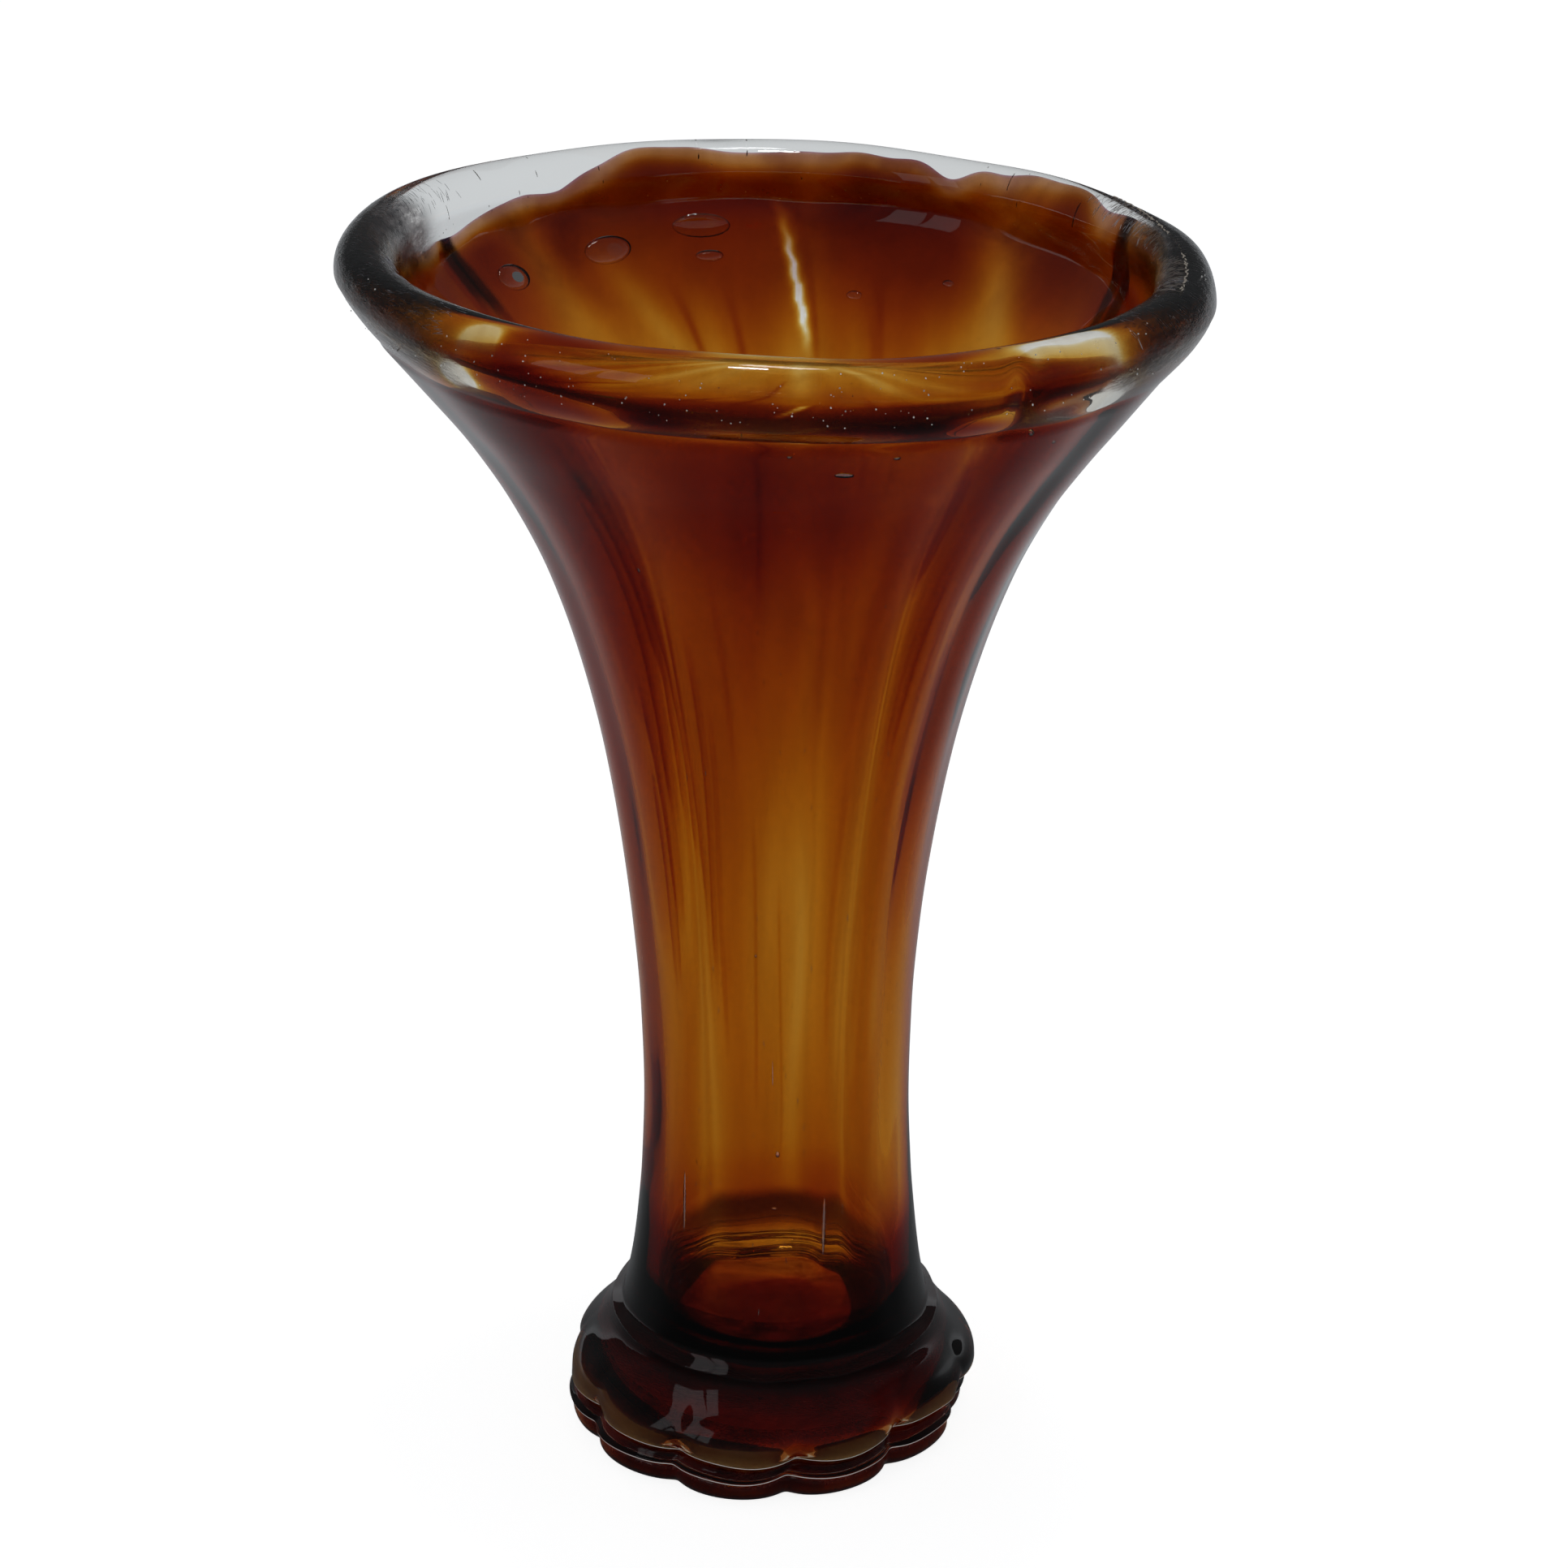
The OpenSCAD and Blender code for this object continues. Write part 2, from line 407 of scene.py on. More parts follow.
def shell(th_deg, z, depth, w, h, t, tilt=0.0, inner=False, nu=10, nv=6):
    """an ellipsoidal void in the wall, w wide, h tall, t deep, its normals facing inward"""
    th = math.radians(th_deg)
    thv = np.array([th])
    if z > 188.5:
        q = math.sqrt(max(1 - ((z - 195.2) / 5.2) ** 2, 0))
        ro, ri = 60.95 + 4.75 * q, 60.95 - 4.75 * q
    else:
        ro, ri = float(r_outer(thv, np.array([z]))[0]), float(r_inner(thv, np.array([z]))[0])
    r = ri + depth if inner else ro - depth
    e = 0.5
    dr = float(r_out_s(min(z + e, 187)) - r_out_s(min(z, 187) - e)) / (2 * e) if z < 187 else 0.0
    er = np.array([math.cos(th), math.sin(th), 0])
    et = np.array([-math.sin(th), math.cos(th), 0])
    up = er * dr + np.array([0, 0, 1.0])
    up /= np.linalg.norm(up)
    nn = np.cross(et, up)
    c, s_ = math.cos(math.radians(tilt)), math.sin(math.radians(tilt))
    ax, ay = et * c + up * s_, -et * s_ + up * c
    cx0, cy0, cz0 = r * math.cos(th), r * math.sin(th), z
    X, Y, Z = place(np.array(cx0), np.array(cy0), np.array(cz0))
    return void(np.array([float(X), float(Y), float(Z)]), ax, ay, nn, w, h, t, nu, nv)


def ripple(th_deg, phi_deg, depth, w, h, t, tilt):
    """a hair-thin void just under the skin of the rolled lip, phi round its section from outside over the top"""
    th, ph = math.radians(th_deg), math.radians(phi_deg)
    er = np.array([math.cos(th), math.sin(th), 0])
    et = np.array([-math.sin(th), math.cos(th), 0])
    ez = np.array([0, 0, 1.0])
    nn = er * math.cos(ph) + ez * math.sin(ph)
    up = -er * math.sin(ph) + ez * math.cos(ph)
    P = er * (60.95 + (4.75 - depth) * math.cos(ph)) + ez * (195.2 + (4.8 - depth) * math.sin(ph))
    c, s_ = math.cos(math.radians(tilt)), math.sin(math.radians(tilt))
    X, Y, Z = place(*(np.array(v) for v in P))
    return void(np.array([float(X), float(Y), float(Z)]), et * c + up * s_, -et * s_ + up * c, nn, w, h, t, 5, 4)


def void(C, ax, ay, nn, w, h, t, nu, nv):
    """ellipsoid about C, its normals facing inward"""
    u = np.linspace(0, TAU, nu, endpoint=False)
    vs = [C + ay * h / 2]
    for j in range(1, nv):
        p = math.pi * j / nv
        for a in u:
            vs.append(C + ay * h / 2 * math.cos(p) + (ax * w / 2 * math.cos(a) + nn * t / 2 * math.sin(a)) * math.sin(p))
    vs.append(C - ay * h / 2)
    vs = np.array(vs) * MM
    fs = []
    last = len(vs) - 1
    for i in range(nu):
        k = (i + 1) % nu
        fs.append((0, 1 + k, 1 + i))
        for j in range(nv - 2):
            b0 = 1 + j * nu
            fs.append((b0 + i, b0 + k, b0 + nu + k, b0 + nu + i))
        b0 = 1 + (nv - 2) * nu
        fs.append((last, b0 + i, b0 + k))
    # make sure the normals face the void
    v0, v1, v2 = (vs[fs[0][i]] for i in range(3))
    if np.dot(np.cross(v1 - v0, v2 - v0), (v0 + v1 + v2) / 3 - C * MM) > 0:
        fs = [tuple(reversed(f)) for f in fs]
    return vs, fs


body_grid = np.array(foot_rows() + body_rows() + lip_rows() + cavity_rows())
body = lathe_mesh("body_tmp", body_grid)
shells = [(
    np.array([v.co[:] for v in body.data.vertices]),
    [tuple(p.vertices) for p in body.data.polygons],
)]
BODY_FACES = len(shells[0][1])
bpy.data.objects.remove(body, do_unlink=True)
sr = np.random.default_rng(21)
# blisters under the inner skin of the flare, and a few bubbles in the outer one
for a, z, w, h, t, tilt in (
    (121.5, 185.0, 8.6, 4.8, 0.7, -4), (103.6, 187.4, 9.6, 4.2, 0.7, 3), (103.0, 183.2, 4.6, 2.0, 0.6, 0),
    (143.5, 184.0, 6.8, 4.6, 0.7, 10), (76.0, 178.5, 2.6, 1.6, 0.3, 0), (58.0, 182.0, 2.0, 1.2, 0.3, 0),
):
    shells.append(shell(a, z, 0.42, w, h, t, tilt, inner=True, nu=28, nv=14))
for a, z, w, h, t, tilt in (
    (279.5, 182.0, 2.9, 1.3, 0.5, -8), (286.5, 185.0, 1.1, 0.8, 0.4, 0), (271.8, 185.6, 0.8, 0.7, 0.4, 0),
    (306.0, 187.0, 0.9, 1.5, 0.4, 30), (312.0, 184.0, 0.6, 1.2, 0.3, 35), (263.0, 93.0, 0.45, 0.6, 0.3, 0),
    (240.0, 160.0, 0.5, 1.0, 0.3, 0), (331.0, 186.5, 0.5, 0.9, 0.3, 20), (269.0, 72.0, 0.25, 4.6, 0.12, 1), (227.5, 46.0, 0.55, 10.5, 0.25, 2), (291.0, 44.0, 0.6, 10.0, 0.28, -2),
    (271.0, 57.5, 0.7, 1.1, 0.3, 0), (269.5, 48.0, 0.9, 0.5, 0.3, 0),
):
    shells.append(shell(a, z, 0.55, w, h, t, tilt, nu=20, nv=10))
# small seeds drawn out up the column
for i in range(230):
    a = sr.uniform(0, 360)
    z = sr.uniform(30, 178)
    ln = sr.uniform(0.35, 1.6) * (0.55 + 0.45 * (z < 130))
    shells.append(shell(a, z, sr.uniform(0.3, 0.6), sr.uniform(0.09, 0.17), ln, 0.12, sr.normal(0, 4), nu=6, nv=4))
# round seeds in the rolled lip
for i in range(420):
    a = sr.uniform(0, 360)
    z = 195.2 + 4.3 * math.sin(sr.uniform(-1.35, 1.35))
    d = sr.uniform(0.10, 0.26)
    if i == 60:
        SPECK_FACES = sum(len(f) for _, f in shells)
    shells.append(shell(a, z, sr.uniform(0.15, 0.7), d, d * sr.uniform(0.8, 1.6), d, sr.uniform(-40, 40), nu=6, nv=4))
# the chilled ripples on the two sides of the lip
RIPPLE_FACES = sum(len(f) for _, f in shells)
for i in range(900):
    left = i % 5 < 3
    a = sr.uniform(150, 226) if left else sr.uniform(-38, 34)
    ph = sr.uniform(28, 150)
    lean = 137 - a if left else 12
    shells.append(ripple(a, ph, sr.uniform(0.16, 0.3), sr.uniform(0.07, 0.13), sr.uniform(0.8, 2.6), 0.07, lean + sr.normal(0, 11)))
# a raised cream fold line along the right of it, and the fine combing beside it
FOLD_FACES = sum(len(f) for _, f in shells)
for i in range(60):
    k = i / 59
    a = 31 - 50 * k + 0.5 * math.sin(i * 1.3)
    vs, fs = ripple(a, 80 + 16 * math.sin(k * 3.4) + 1.5 * math.sin(i * 2.1), -0.12, 0.26, 1.3, 0.16, 90 + 16 * math.sin(i * 1.7))
    shells.append((vs, [tuple(reversed(f)) for f in fs]))
COMB_FACES = sum(len(f) for _, f in shells)
for i in range(240):
    a = sr.uniform(-20, 34)
    k = (31 - a) / 50
    ph = 80 + 16 * math.sin(k * 3.4) + sr.uniform(4, 42)
    vs, fs = ripple(a, ph, -0.06, sr.uniform(0.04, 0.08), sr.uniform(0.7, 2.2), 0.08, 12 + sr.normal(0, 10))
    shells.append((vs, [tuple(reversed(f)) for f in fs]))
glass = join_shells("clear_glass_body", shells)

# ------------------------------------------------------------------ amber layer (mm)
n_am = Noise(11, 10, 1, 6, 0.01, 0.06)
n_am2 = Noise(12, 14, 5, 20, 0.01, 0.05)
n_edge = Noise(13, 10, 2, 13, 0, 0.01)


def amber_top(th):
    """height where the colour stops under the lip"""
    d = np.degrees(th)
    z = 198.0 + 0.55 * n_edge(th, 0) + 0.18 * n_edge(th * 3, 1)
    z = z - 2.6 * bump(ang(d, 127), 0, 11) - 5.2 * bump(ang(d, 146), 0, 13) - 5.6 * bump(ang(d, 168), 0, 13)
    z = z - 3.4 * bump(ang(d, 200), 0, 18) - 3.0 * bump(ang(d, 345), 0, 18)
    z = z - 1.6 * bump(ang(d, 62), 0, 5) - 1.2 * bump(ang(d, 30), 0, 5) - 1.0 * bump(ang(d, 270), 0, 50)
    return z


amber_base = spline(
    [17, 26, 32, 40, 60, 80, 100, 120, 140, 155, 165, 175, 182, 188, 193, 199],
    [2.2, 2.0, 1.9, 1.3, 1.05, 1.0, 1.15, 1.45, 1.8, 2.15, 2.5, 3.1, 3.5, 3.7, 3.4, 3.2],
)
# narrow dark streaks drawn up the wall: angle, half-width (deg), extra colour (mm), from z, to z
STREAKS = [
    (300.6, 1.4, 3.6, 154, 187, -0.06), (320.8, 1.7, 2.6, 108, 150, 0), (236.5, 0.7, 2.4, 138, 184, 0), (240.2, 0.6, 2.2, 105, 172, 0),
    (243.0, 0.5, 1.8, 96, 160, 0), (233.2, 0.7, 2.2, 112, 178, 0), (246.4, 0.5, 1.5, 84, 152, 0), (229.4, 1.0, 2.2, 92, 142, 0),
    (238.2, 0.5, 2.0, 112, 162, 0), (249.5, 0.45, 0.9, 70, 140, 0), (226.0, 0.8, 1.8, 80, 128, 0),
    # the first two entries of the next line, at 154.5 and 19.5 degrees, thicken the colour into lines of painted shade
    # for the dark refraction along the rib edges
    (154.5, 1.1, 5.5, 174, 198, 0.25), (19.5, 1.1, 5.5, 172, 198, 0.62), (70, 0.9, 1.2, 150, 188, 0.3), (143, 0.9, 2.0, 150, 186, 0.5), (109, 0.7, 1.4, 160, 188, 0.4),
    (97, 0.8, 1.2, 130, 184, 0.2), (262, 0.6, 0.5, 60, 120, 0), (272, 0.5, 0.45, 50, 110, 0), (293, 0.6, 0.5, 70, 130, 0), (112, 0.7, 0.5, 60, 110, 0),
    (308, 0.7, 1.2, 120, 168, 0), (314, 0.6, 1.0, 130, 178, 0), (256, 0.5, 0.6, 120, 165, 0),
    (87.0, 1.15, -4.6, 167, 193, 0.28), (85.0, 0.6, 1.6, 164, 192, 0.28), (133.5, 4.6, -1.0, 164, 197, 0.39), (116.5, 3.6, -0.9, 162, 190, 0.77),
    (47, 5.5, -1.1, 162, 199, 0.9), (60, 2.2, -0.4, 160, 188, 0.4), (75, 2.4, -0.5, 160, 184, 0.2), (104, 2.4, -0.4, 158, 184, 0.3),
]
# lumps and gaps in the rolled lip: angle, half-width (deg), z, half-height (mm), change of thickness (mm)
LUMPS = [
    (254, 4.5, 191.2, 1.3, 3.8), (288, 8.5, 190.9, 1.4, 3.8), (237, 9, 193.0, 1.7, 3.6), (311, 6, 194.5, 2.0, 2.6),
    (300, 4, 196.5, 1.2, 2.0), (317, 8, 190.8, 2.6, -6.0), (224, 3.4, 192.0, 2.2, -6.0), (64, 4, 198, 1.6, -4.0), (272, 30, 196.6, 1.5, -0.7),
    (270, 60, 188.4, 0.9, -1.3), (268, 22, 170, 9, 0.9), (86, 75, 24.6, 2.8, 4.4), (88, 60, 19.5, 2.6, -2.1), (196, 26, 27, 9, 3.2), (344, 26, 27, 9, 3.2),
    (285, 40, 185.5, 3, -0.7), (295, 9, 180, 9, -0.8), (203, 14, 60, 60, 0.5), (337, 14, 60, 50, -0.35),
    (241, 8, 190.3, 1.8, 4.0), (297, 6, 189.3, 1.7, 4.0), (268, 13, 189.6, 2.0, -1.4),
]


def amber_t(th, z):
    """thickness of the colour, mm"""
    d = np.degrees(th)
    z = np.asarray(z, float) + 0 * d
    base = amber_base(z)
    back = bump(ang(d, 90), 0, 80)
    base = base * (1 + 0.55 * back * smooth(z, 164, 184))
    base = base * (1 - 0.55 * (1 - back) * smooth(z, 186, 190.5))
    f = flute_at(d, z)
    m = 1.10 - 0.36 * f
    m = m * (1 + 0.09 * n_am(th, z) + 0.05 * n_am2(th, z))
    t = base * np.clip(m, 0.3, 2)
    for i, (a, w, k, lo, hi, sl) in enumerate(STREAKS):
        fade = min(14, (hi - lo) / 2.5)
        win = smooth(z, lo, lo + fade) * (1 - smooth(z, hi - fade, hi))
        jag = 0.25 * np.sin(1.9 * z + i) * (k < -4)
        t = t + k * win * bump(ang(d, a + sl * (z - (lo + hi) / 2) + 0.7 * np.sin(0.07 * z + i * 1.9) + jag), 0, w)
    for a, w, zc, h, k in LUMPS:
        t = t + k * bump(ang(d, a), 0, w) * bump(z, zc, h)
    return np.maximum(t, 0.03)


rim_out_top = spline([195.8, 197.5, 198.8, 199.6, 200.3], [65.7, 65.1, 64.0, 63.0, 61.2])
rim_in_top = spline([195.8, 197.5, 198.8, 199.6, 200.3], [56.2, 56.8, 57.8, 58.8, 60.7])


def wall_span(z):
    """inner and outer radius of the glass at height z, the lip bead included"""
    z = np.asarray(z, float) + 0 * TH
    low = np.minimum(z, WALL_TOP)
    ri, ro = r_inner(TH, low), r_outer(TH, low)
    top = z > WALL_TOP
    fade = 1 - smooth(z, WALL_TOP, 193)
    ti = np.where(z < 195.8, rim_in(np.minimum(z, 195.8)), rim_in_top(np.maximum(z, 195.8)))
    to = np.where(z < 195.8, rim_run(np.minimum(z, 195.8)), rim_out_top(np.maximum(z, 195.8)))
    return np.where(top, ti + (ri - 54.2) * fade, ri), np.where(top, to + (ro - 60.4) * fade, ro)


def amber_rows():
    outer, inner = [], []
    zt = amber_top(TH)
    hs = np.concatenate([np.linspace(0, 0.6, 60), np.linspace(0.605, 0.9, 50), np.linspace(0.905, 1, 34)])
    z0 = FLOOR_Z + CUP
    for h in hs:
        z = z0 + (zt - z0) * h
        t = amber_t(TH, z)
        edge = 0.15 * smooth(zt - z, 0, 0.7) + 0.85 * smooth(zt - z, 1.0, 4.4)
        t = np.maximum(t * (0.02 + 0.98 * edge), 0.04)
        ri, ro = wall_span(z)
        mid = ri + (ro - ri) * (0.45 + 0.04 * n_am(TH + 3, z))
        a = np.maximum(mid - t / 2, ri + 0.45)
        b = np.minimum(a + t, ro - 0.45)
        x, y, Z = place(b * np.cos(TH), b * np.sin(TH), z)
        outer.append(np.stack([x, y, Z], -1))
        x, y, Z = place(a * np.cos(TH), a * np.sin(TH), z)
        inner.append(np.stack([x, y, Z], -1))
    # floor of the cup
    fo, fi = [], []
    R1 = r_inner(TH, z0)
    t1 = amber_t(TH, np.full_like(TH, z0))
    a1 = np.hypot(inner[0][:, 0] - cx_s(z0), inner[0][:, 1])
    b1 = np.hypot(outer[0][:, 0] - cx_s(z0), outer[0][:, 1])
    for b in np.linspace(6, 88, 20):
        t = math.radians(b)
        f = math.cos(t) ** (2 / 3)
        h = math.sin(t) ** (2 / 3)
        zi = z0 - (CUP + 0.9) * h
        zo = z0 - (CUP + 3.2 - 1.5 * bump(ang(np.degrees(TH), 88), 0, 62) * smooth(f, 0.15, 0.6)) * h
        fi.append(ring(a1 * f, zi, cx_s(z0), 0))
        thin = 1 - 0.92 * bump(ang(np.degrees(TH), 88), 0, 62) * smooth(h, 0.12, 0.5)
        fo.append(ring((a1 + (b1 - a1) * thin) * f, zo, cx_s(z0), 0))
    return fo[::-1] + outer + inner[::-1] + fi


amber = lathe_mesh("amber_layer_glass", np.array(amber_rows()))

# ------------------------------------------------------------------ amber core of the foot (mm)
CORE_PROFILE = [
    (0.4, 11.2, 0), (6, 11.2, 0), (12, 11.2, 0), (16, 11.1, 0), (19, 10.7, 0), (21.5, 9.4, 0), (23.3, 8.0, 0.05), (25, 7.5, 0.15), (27.6, 7.5, 0.3), (30.0, 7.9, 0.6), (31.4, 8.7, 0.8), (31.9, 9.8, 0.75),
    (31.7, 11.0, 0.45), (30.8, 12.3, 0.24), (29.6, 13.4, 0.18), (28.3, 14.8, 0.12), (27.2, 16.4, 0.06),
    (26.3, 18.2, 0.03), (25.2, 20.2, 0), (24.0, 22.6, 0), (23.1, 25.2, 0), (22.5, 27.8, 0),
    (21.9, 27.0, 0), (21.4, 23.0, 0), (21.0, 19.6, 0), (19.8, 16.6, 0), (17.4, 14.2, 0), (12.0, 13.5, 0), (6.0, 13.5, 0), (0.4, 13.5, 0),
]
def core_rows():
    rows = []
    pin = lobes(TH)
    d = np.degrees(TH)
    # at the back the colour thins to a sheet under the cup and leaves the dome clear
    rear = 1 - smooth(np.abs(ang(d, 88)), 26, 84)
    prof = dense(CORE_PROFILE, 3)
    edge = int(np.argmax(prof[:, 0]))
    for i, (r, z, w) in enumerate(prof):
        s = 1 - smooth(z, 11, 22)
        zz = np.full_like(TH, z)
        rr = np.maximum(r - w * pin + 0.9 * smooth(r, 22, 31) * foot_dr(TH, z), 0.1)
        row = ring(rr, zz, HIGH[0] * s + 0.4 * (1 - s), HIGH[1] * s)
        if i > edge:
            # the upper skin comes down to lie just above the lower one
            j = min(max(int(np.searchsorted(prof[:edge + 1, 0], r)), 1), edge)
            f = (r - prof[j - 1, 0]) / (prof[j, 0] - prof[j - 1, 0])
            low = rows[j - 1] * (1 - f) + rows[j] * f + np.array([0, 0, 0.2])
            k = (rear * smooth(r, 9.5, 13))[:, None]
            row = row * (1 - k) + low * k
        rows.append(row)
    return rows


core = lathe_mesh("foot_core_glass", np.array(core_rows()))


def slab_rows(profile):
    """a band of colour in the rim of a lower tier, narrow at the back"""
    pin = lobes(TH)
    rear = bump(ang(np.degrees(TH), 88), 0, 54)
    return np.array([ring(r + 0.5 + 0.97 * rear * max(32.2 - r, 0) - w * pin + smooth(r, 22, 31) * foot_dr(TH, z), z, *foot_c(z)) for r, z, w in dense(profile + profile[:1], 3)[:-1]])


# the colour in the two lower tiers lies in a band round their rims
ring_glass = lathe_mesh("foot_ring_glass", slab_rows([
    (21, 4.9, 0.2), (24, 4.5, 0.4), (28, 4.45, 0.8), (30.6, 4.55, 1), (31.6, 4.9, 1), (31.9, 5.4, 1),
    (31.5, 5.9, 1), (30.6, 6.3, 1), (28, 6.45, 0.8), (24, 6.4, 0.4), (21, 6.1, 0.2), (20.2, 5.5, 0.1)]), loop=True)
disc_glass = lathe_mesh("foot_disc_glass", slab_rows([
    (19.5, 1.1, 0), (23, 0.7, 0.2), (28, 0.55, 0.7), (30.4, 0.85, 1), (31.3, 1.6, 1), (31.5, 2.5, 1),
    (31.0, 3.1, 1), (30.2, 3.5, 1), (27, 3.65, 0.8), (23, 3.6, 0.3), (19.5, 3.1, 0), (18.5, 2.1, 0)]), loop=True)

# ------------------------------------------------------------------ materials


def new_mat(name):
    m = bpy.data.materials.new(name)
    m.use_nodes = True
    nt = m.node_tree
    nt.nodes.clear()
    return m, nt


def node(nt, kind, **kw):
    n = nt.nodes.new(kind)
    for k, v in kw.items():
        if k in n.inputs:
            n.inputs[k].default_value = v
        else:
            setattr(n, k, v)
    return n


def clear_glass():
    m, nt = new_mat("clear_glass")
    out = node(nt, "ShaderNodeOutputMaterial")
    p = node(nt, "ShaderNodeBsdfPrincipled")
    p.inputs["Base Color"].default_value = (0.985, 0.99, 0.985, 1)
    p.inputs["IOR"].default_value = 1.5
    p.inputs["Transmission Weight"].default_value = 1.0
    tc = node(nt, "ShaderNodeTexCoord")
    sp = node(nt, "ShaderNodeSeparateXYZ")
    nt.links.new(tc.outputs["Object"], sp.inputs[0])
    ab = node(nt, "ShaderNodeMath", operation="ABSOLUTE")
    nt.links.new(sp.outputs["X"], ab.inputs[0])
    # handling marks sit on the two sides of the lip: bump and roughness there, and with them painted shade in the
    # colour
    side = node(nt, "ShaderNodeMapRange", interpolation_type="SMOOTHSTEP")
    side.inputs["From Min"].default_value = 0.043
    side.inputs["From Max"].default_value = 0.052
    nt.links.new(ab.outputs[0], side.inputs["Value"])
    high = node(nt, "ShaderNodeMapRange", interpolation_type="SMOOTHSTEP")
    high.inputs["From Min"].default_value = 0.1885
    high.inputs["From Max"].default_value = 0.1925
    nt.links.new(sp.outputs["Z"], high.inputs["Value"])
    fore = node(nt, "ShaderNodeMapRange", interpolation_type="SMOOTHSTEP")
    fore.inputs["From Min"].default_value = 0.023
    fore.inputs["From Max"].default_value = 0.015
    nt.links.new(sp.outputs["Y"], fore.inputs["Value"])
    mask0 = node(nt, "ShaderNodeMath", operation="MULTIPLY")
    nt.links.new(side.outputs["Result"], mask0.inputs[0])
    nt.links.new(high.outputs["Result"], mask0.inputs[1])
    mask = node(nt, "ShaderNodeMath", operation="MULTIPLY")
    nt.links.new(mask0.outputs[0], mask.inputs[0])
    nt.links.new(fore.outputs["Result"], mask.inputs[1])
    big = node(nt, "ShaderNodeTexNoise")
    big.inputs["Scale"].default_value = 90
    big.inputs["Detail"].default_value = 3
    nt.links.new(tc.outputs["Object"], big.inputs["Vector"])
    br = node(nt, "ShaderNodeMapRange")
    br.inputs["From Min"].default_value = 0.38
    br.inputs["From Max"].default_value = 0.62
    nt.links.new(big.outputs["Fac"], br.inputs["Value"])
    m2 = node(nt, "ShaderNodeMath", operation="MULTIPLY")
    nt.links.new(mask.outputs[0], m2.inputs[0])
    nt.links.new(br.outputs["Result"], m2.inputs[1])
    # painted shade in the brushed marks: streaks from near black to mid grey, drawn round the rim, darken the lip
    # sides
    a2 = node(nt, "ShaderNodeMath", operation="ARCTAN2")
    nt.links.new(sp.outputs["Y"], a2.inputs[0])
    nt.links.new(sp.outputs["X"], a2.inputs[1])
    rd = node(nt, "ShaderNodeVectorMath", operation="LENGTH")
    fl = node(nt, "ShaderNodeCombineXYZ")
    nt.links.new(sp.outputs["X"], fl.inputs["X"])
    nt.links.new(sp.outputs["Y"], fl.inputs["Y"])
    nt.links.new(fl.outputs[0], rd.inputs[0])
    pol = node(nt, "ShaderNodeCombineXYZ")
    nt.links.new(a2.outputs[0], pol.inputs["X"])
    nt.links.new(rd.outputs["Value"], pol.inputs["Y"])
    nt.links.new(sp.outputs["Z"], pol.inputs["Z"])
    pm = node(nt, "ShaderNodeMapping")
    pm.inputs["Scale"].default_value = (11, 520, 520)
    pm.inputs["Rotation"].default_value = (0, 0, 0)
    nt.links.new(pol.outputs[0], pm.inputs["Vector"])
    gz = node(nt, "ShaderNodeTexNoise")
    gz.inputs["Scale"].default_value = 1.0
    gz.inputs["Detail"].default_value = 6
    gz.inputs["Roughness"].default_value = 0.7
    nt.links.new(pm.outputs[0], gz.inputs["Vector"])
    gr = node(nt, "ShaderNodeValToRGB")
    el = gr.color_ramp.elements
    el[0].position, el[0].color = 0.42, (0.03, 0.028, 0.03, 1)
    el[1].position, el[1].color = 0.68, (0.50, 0.47, 0.46, 1)
    mid = el.new(0.55)
    mid.color = (0.12, 0.108, 0.108, 1)
    nt.links.new(gz.outputs["Fac"], gr.inputs["Fac"])
    # the painted shade is mixed into the glass colour over the masked lip sides
    gm = node(nt, "ShaderNodeMix", data_type="RGBA")
    nt.links.new(mask.outputs[0], gm.inputs[0])
    gm.inputs[6].default_value = (0.985, 0.99, 0.985, 1)
    nt.links.new(gr.outputs["Color"], gm.inputs[7])
    nt.links.new(gm.outputs[2], p.inputs["Base Color"])
    ro = node(nt, "ShaderNodeMath", operation="MULTIPLY")
    nt.links.new(m2.outputs[0], ro.inputs[0])
    ro.inputs[1].default_value = 0.045
    nt.links.new(ro.outputs[0], p.inputs["Roughness"])
    bs = node(nt, "ShaderNodeMath", operation="MULTIPLY_ADD")
    nt.links.new(mask.outputs[0], bs.inputs[0])
    bs.inputs[1].default_value = 0.9
    bs.inputs[2].default_value = 0.0
    bm = node(nt, "ShaderNodeBump")
    bm.inputs["Distance"].default_value = 0.0003
    nt.links.new(bs.outputs[0], bm.inputs["Strength"])
    nt.links.new(gz.outputs["Fac"], bm.inputs["Height"])
    nt.links.new(bm.outputs["Normal"], p.inputs["Normal"])
    nt.links.new(p.outputs[0], out.inputs["Surface"])
    return m


